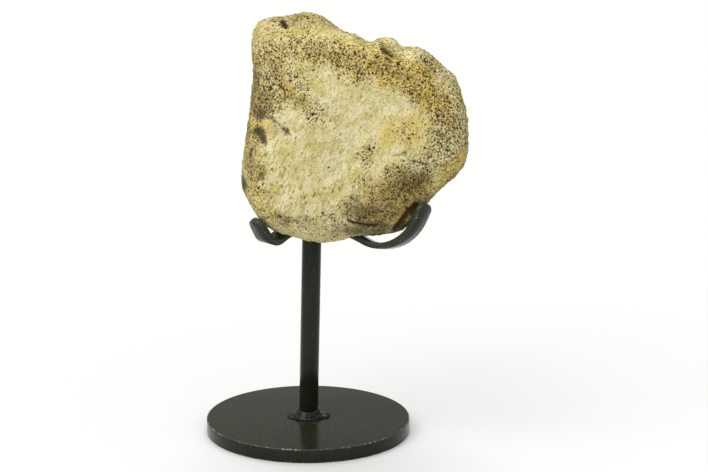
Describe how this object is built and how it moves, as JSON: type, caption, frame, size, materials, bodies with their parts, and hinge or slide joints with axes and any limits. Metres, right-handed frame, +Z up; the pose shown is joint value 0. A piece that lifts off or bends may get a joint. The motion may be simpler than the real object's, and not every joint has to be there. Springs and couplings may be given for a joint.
{
  "type": "fossil limb bone piece on display stand",
  "caption": "Chunky piece of spongy fossil limb bone held by bent flat prongs on a leaning round post with a round base plate.",
  "frame": {"origin": "centre of the round base plate's underside", "axes": "+Z up; the face on show looks along -Y; +X to the viewer's right"},
  "size_m": [0.1291, 0.1016, 0.2118],
  "materials": {
    "bone": "matte, porous, cream to ochre mineralised bone",
    "stand_paint": "satin black paint on steel"
  },
  "bodies": {
    "root": {"bone": "bone", "stand_base": "stand_paint", "stand_post": "stand_paint", "stand_weld_foot": "stand_paint", "stand_weld_top": "stand_paint", "stand_prong_right": "stand_paint", "stand_prong_left": "stand_paint", "stand_prong_back": "stand_paint"}
  },
  "joints": []
}
